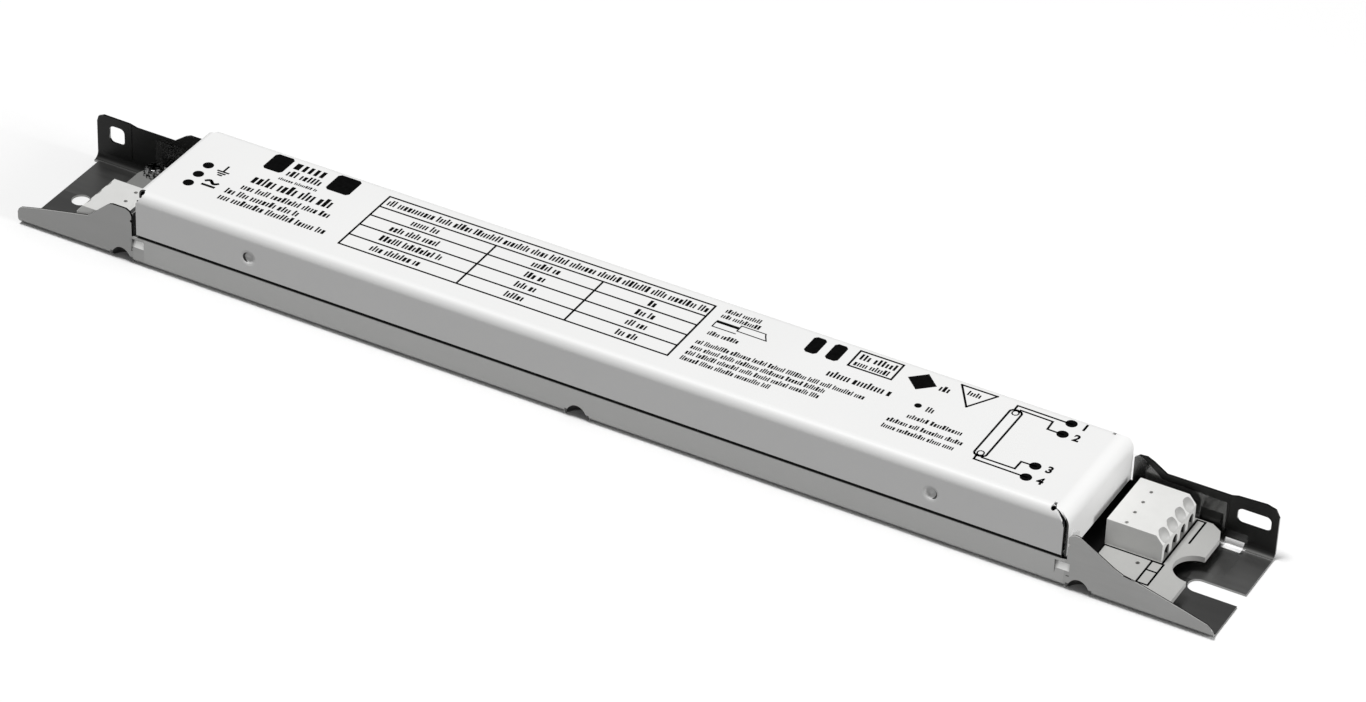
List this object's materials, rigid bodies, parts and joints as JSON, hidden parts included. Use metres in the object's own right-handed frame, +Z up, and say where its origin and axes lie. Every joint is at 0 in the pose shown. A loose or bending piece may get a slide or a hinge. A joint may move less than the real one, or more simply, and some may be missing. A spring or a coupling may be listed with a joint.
{
  "type": "linear electronic ballast for a fluorescent lamp",
  "caption": "Slim electronic lamp ballast: an open-ended galvanised tray with a white folded cover, a circuit board, and push-in terminal blocks at both ends.",
  "frame": {"origin": "middle of the tray's underside, on the face that lies on the luminaire", "axes": "+X along the tray toward the lamp terminals, +Y across toward the tall side wall, +Z up out of the printed cover"},
  "size_m": [0.36, 0.04, 0.0234],
  "materials": {
    "tray_steel": "galvanised sheet, satin",
    "white_paint": "satin white paint",
    "clear_film": "clear film",
    "board_laminate": "pale coated laminate",
    "white_plastic": "moulded white plastic",
    "tinned_spring": "tinned spring strip",
    "plated_steel": "zinc plated",
    "nylon": "natural nylon",
    "dark_plastic": "black moulding",
    "blue_epoxy": "dipped coating",
    "ferrite": "sintered ferrite",
    "black_bobbin": "moulded bobbin",
    "copper_wire": "enamelled copper",
    "grey_box": "moulded case",
    "can_sleeve": "shrunk sleeve"
  },
  "bodies": {
    "root": {"base_tray": "tray_steel", "top_cover": "white_paint", "insulating_liner": "clear_film", "circuit_board": "board_laminate", "lamp_terminal_block": "white_plastic", "mains_terminal_block": "white_plastic", "lamp_clamp_1": "tinned_spring", "lamp_clamp_2": "tinned_spring", "lamp_clamp_3": "tinned_spring", "lamp_clamp_4": "tinned_spring", "mains_clamp_1": "tinned_spring", "mains_clamp_2": "tinned_spring", "mains_clamp_3": "tinned_spring", "earth_pillar": "plated_steel", "earth_lock_washer": "plated_steel", "earth_screw": "plated_steel", "board_spacer_1": "nylon", "board_spacer_2": "nylon", "board_spacer_3": "nylon", "board_spacer_4": "nylon", "mains_fuse": "dark_plastic", "surge_varistor": "blue_epoxy", "filter_choke_core": "ferrite", "filter_choke_bobbin": "black_bobbin", "filter_choke_winding": "copper_wire", "suppression_capacitor": "grey_box", "bridge_rectifier": "dark_plastic", "boost_choke_core": "ferrite", "boost_choke_bobbin": "black_bobbin", "boost_choke_winding": "copper_wire", "boost_transistor": "dark_plastic", "boost_diode": "dark_plastic", "bulk_capacitor": "can_sleeve", "control_chip": "dark_plastic", "bridge_transistor_1": "dark_plastic", "bridge_transistor_2": "dark_plastic", "snubber_capacitor": "grey_box", "lamp_choke_core": "ferrite", "lamp_choke_bobbin": "black_bobbin", "lamp_choke_winding": "copper_wire", "resonant_capacitor": "grey_box", "coupling_capacitor": "grey_box", "preheat_transformer_core": "ferrite", "preheat_transformer_bobbin": "black_bobbin", "preheat_transformer_winding": "copper_wire", "heater_capacitor_1": "grey_box", "heater_capacitor_2": "grey_box"}
  },
  "joints": []
}
